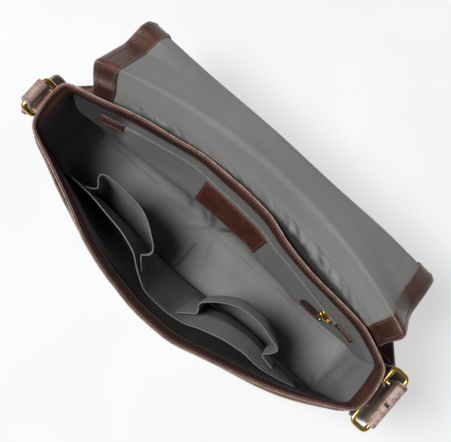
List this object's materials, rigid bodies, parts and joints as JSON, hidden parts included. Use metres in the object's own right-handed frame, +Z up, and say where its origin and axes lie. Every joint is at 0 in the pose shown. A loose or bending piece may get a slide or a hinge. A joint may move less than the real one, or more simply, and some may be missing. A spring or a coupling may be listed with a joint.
{
  "type": "messenger bag",
  "caption": "Soft leather messenger bag standing open, flap thrown back, cloth-lined with zip, slip and patch pockets, brass hardware and a shoulder strap.",
  "frame": {"origin": "on the surface the bag stands on, under the middle of the mouth; the flat base reaches 30 mm forward and 48 mm back of it", "axes": "+X along the bag towards the buckle end, +Y towards the back where the flap hangs, +Z up"},
  "size_m": [0.511, 0.2271, 0.3674],
  "materials": {
    "leather": "dark brown smooth leather, slightly waxed, worn pale at the edges",
    "label_leather": "bare red-brown leather patch",
    "lining": "grey woven cotton twill",
    "zip_tape": "grey zip tape and coil",
    "brass": "polished brass"
  },
  "bodies": {
    "root": {"front_panel": "leather", "back_panel": "leather", "front_pocket": "leather", "gusset_left": "leather", "gusset_right": "leather", "base": "leather", "lining_base": "lining", "lining_front": "lining", "lining_back": "lining", "lining_left": "lining", "lining_right": "lining", "facing_front": "leather", "facing_back": "leather", "facing_left": "leather", "facing_right": "leather", "zip": "zip_tape", "zip_end_left": "leather", "zip_end_right": "leather", "label_patch": "label_leather", "zip_slider": "brass", "zip_pull": "leather", "slip_pocket": "lining", "patch_pocket_left": "lining", "patch_pocket_right": "lining", "flap_lining": "lining", "flap_leather": "leather", "flap_facing_left": "leather", "flap_facing_right": "leather", "tab_left": "leather", "tab_right": "leather", "ring_left": "brass", "buckle": "brass", "strap": "leather", "prong": "brass"}
  },
  "joints": []
}
